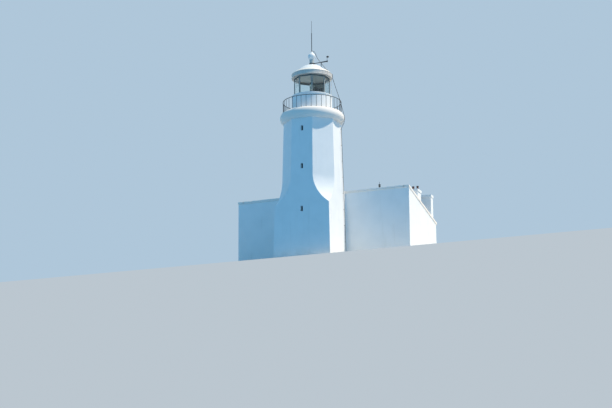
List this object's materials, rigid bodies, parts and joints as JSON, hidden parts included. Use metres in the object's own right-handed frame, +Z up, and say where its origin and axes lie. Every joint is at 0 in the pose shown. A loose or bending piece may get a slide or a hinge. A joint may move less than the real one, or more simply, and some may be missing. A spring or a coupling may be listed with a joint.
{
  "type": "lighthouse with keeper's house",
  "caption": "White masonry lighthouse, octagonal on a square base, with gallery, glazed lantern, domed roof and a low keeper's house behind.",
  "frame": {"origin": "on the ground in the tower's axis, at the centre of the tower floor's underside", "axes": "+Z up along the tower, +Y from the tower's free front toward the house, +X to the right seen from the front"},
  "size_m": [15.525, 11.1299, 21.0207],
  "materials": {
    "white_masonry": "matte lime-painted render",
    "white_metal": "white gloss paint",
    "dark_metal": "black paint",
    "clear_glass": "clear",
    "lens_glass": "clear, ribbed",
    "grey_concrete": "rough concrete",
    "painted_wood": "satin paint",
    "terracotta": "sooted earthenware"
  },
  "bodies": {
    "root": {"chimney_front": "white_masonry", "chimney_pots": "terracotta", "chimney_rear": "white_masonry", "coping_lamp": "dark_metal", "dome": "white_metal", "eave_ring": "white_metal", "front_copings": "white_masonry", "gallery_railing": "dark_metal", "gallery_slab": "white_masonry", "house_floor": "grey_concrete", "house_front_left": "white_masonry", "house_front_right": "white_masonry", "house_left_wall": "white_masonry", "house_right_wall": "white_masonry", "house_roof": "grey_concrete", "instrument_arm": "dark_metal", "lamp_cabinet": "dark_metal", "lantern_blank_panel": "white_metal", "lantern_ceiling": "white_metal", "lantern_door": "dark_metal", "lantern_glass": "clear_glass", "lantern_head": "dark_metal", "lantern_posts": "white_metal", "lantern_rain_pipe": "white_metal", "lantern_sill": "white_metal", "lantern_wall": "white_masonry", "lightning_conductor": "dark_metal", "lightning_rod": "dark_metal", "optic_lens": "lens_glass", "optic_pedestal": "white_metal", "rear_door": "painted_wood", "rear_wall_panels": "white_masonry", "rear_wall_piers": "white_masonry", "rear_window_frames": "painted_wood", "rear_window_glass": "clear_glass", "slit_window_frames": "dark_metal", "slit_window_glass": "clear_glass", "tower_base_back_centre": "white_masonry", "tower_base_back_left": "white_masonry", "tower_base_back_right": "white_masonry", "tower_base_front_centre": "white_masonry", "tower_base_front_left": "white_masonry", "tower_base_front_right": "white_masonry", "tower_base_left": "white_masonry", "tower_base_right": "white_masonry", "tower_floor": "grey_concrete", "tower_shaft_back_centre": "white_masonry", "tower_shaft_back_left": "white_masonry", "tower_shaft_back_right": "white_masonry", "tower_shaft_front_centre": "white_masonry", "tower_shaft_front_left": "white_masonry", "tower_shaft_front_right": "white_masonry", "tower_shaft_left": "white_masonry", "tower_shaft_right": "white_masonry", "vent_ball": "white_metal", "vent_neck": "white_metal", "verge_copings": "white_masonry"}
  },
  "joints": []
}
